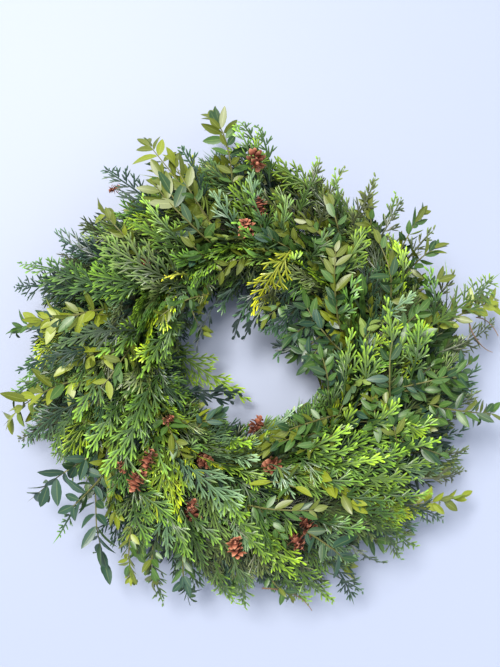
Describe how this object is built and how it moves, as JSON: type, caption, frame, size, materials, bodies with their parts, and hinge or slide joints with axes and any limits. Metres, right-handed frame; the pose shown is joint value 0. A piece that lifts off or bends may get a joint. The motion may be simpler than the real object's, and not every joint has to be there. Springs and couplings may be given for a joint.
{
  "type": "arborvitae wreath",
  "caption": "Round evergreen wreath of arborvitae sprays, boxwood shoots and small cones, wired in bunches onto a wire ring frame, lying face up.",
  "frame": {"origin": "middle of the wreath's plan, at the height of the surface it lies on", "axes": "+Z out of the wreath's face, +Y to its top edge as pictured"},
  "size_m": [0.539, 0.5322, 0.1183],
  "materials": {
    "arborvitae_green": "waxy scale leaves on woody stems",
    "boxwood_dark": "semi-gloss leaves",
    "boxwood_light": "semi-gloss leaves",
    "cone_brown": "matt",
    "frame_wire": "dull varnish",
    "binding_wire": "green enamel"
  },
  "bodies": {
    "root": {"wire_frame": "frame_wire", "binding_wire": "binding_wire", "arborvitae_bunch_01": "arborvitae_green", "arborvitae_bunch_02": "arborvitae_green", "arborvitae_bunch_03": "arborvitae_green", "arborvitae_bunch_04": "arborvitae_green", "arborvitae_bunch_05": "arborvitae_green", "arborvitae_bunch_06": "arborvitae_green", "arborvitae_bunch_07": "arborvitae_green", "arborvitae_bunch_08": "arborvitae_green", "arborvitae_bunch_09": "arborvitae_green", "arborvitae_bunch_10": "arborvitae_green", "arborvitae_bunch_11": "arborvitae_green", "arborvitae_bunch_12": "arborvitae_green", "arborvitae_stray_spray": "arborvitae_green", "boxwood_shoot_01": "boxwood_light", "boxwood_shoot_02": "boxwood_dark", "boxwood_shoot_03": "boxwood_light", "boxwood_shoot_04": "boxwood_light", "boxwood_shoot_05": "boxwood_light", "boxwood_shoot_06": "boxwood_dark", "boxwood_shoot_07": "boxwood_dark", "boxwood_shoot_08": "boxwood_dark", "boxwood_shoot_09": "boxwood_light", "boxwood_shoot_10": "boxwood_dark", "boxwood_shoot_11": "boxwood_dark", "boxwood_shoot_12": "boxwood_dark", "boxwood_shoot_13": "boxwood_light", "boxwood_shoot_14": "boxwood_dark", "boxwood_shoot_15": "boxwood_dark", "boxwood_shoot_16": "boxwood_dark", "boxwood_shoot_17": "boxwood_light", "boxwood_shoot_18": "boxwood_dark", "boxwood_shoot_19": "boxwood_dark", "boxwood_shoot_20": "boxwood_dark", "boxwood_shoot_21": "boxwood_light", "boxwood_shoot_22": "boxwood_light", "boxwood_shoot_23": "boxwood_dark", "boxwood_shoot_24": "boxwood_dark", "boxwood_shoot_25": "boxwood_dark", "boxwood_shoot_26": "boxwood_dark", "boxwood_shoot_27": "boxwood_light", "boxwood_shoot_28": "boxwood_dark", "boxwood_shoot_29": "boxwood_light", "boxwood_shoot_30": "boxwood_dark", "cone_01": "cone_brown", "cone_02": "cone_brown", "cone_03": "cone_brown", "cone_04": "cone_brown", "cone_05": "cone_brown", "cone_06": "cone_brown", "cone_07": "cone_brown", "cone_08": "cone_brown", "cone_09": "cone_brown", "cone_10": "cone_brown", "cone_11": "cone_brown", "cone_12": "cone_brown"}
  },
  "joints": []
}
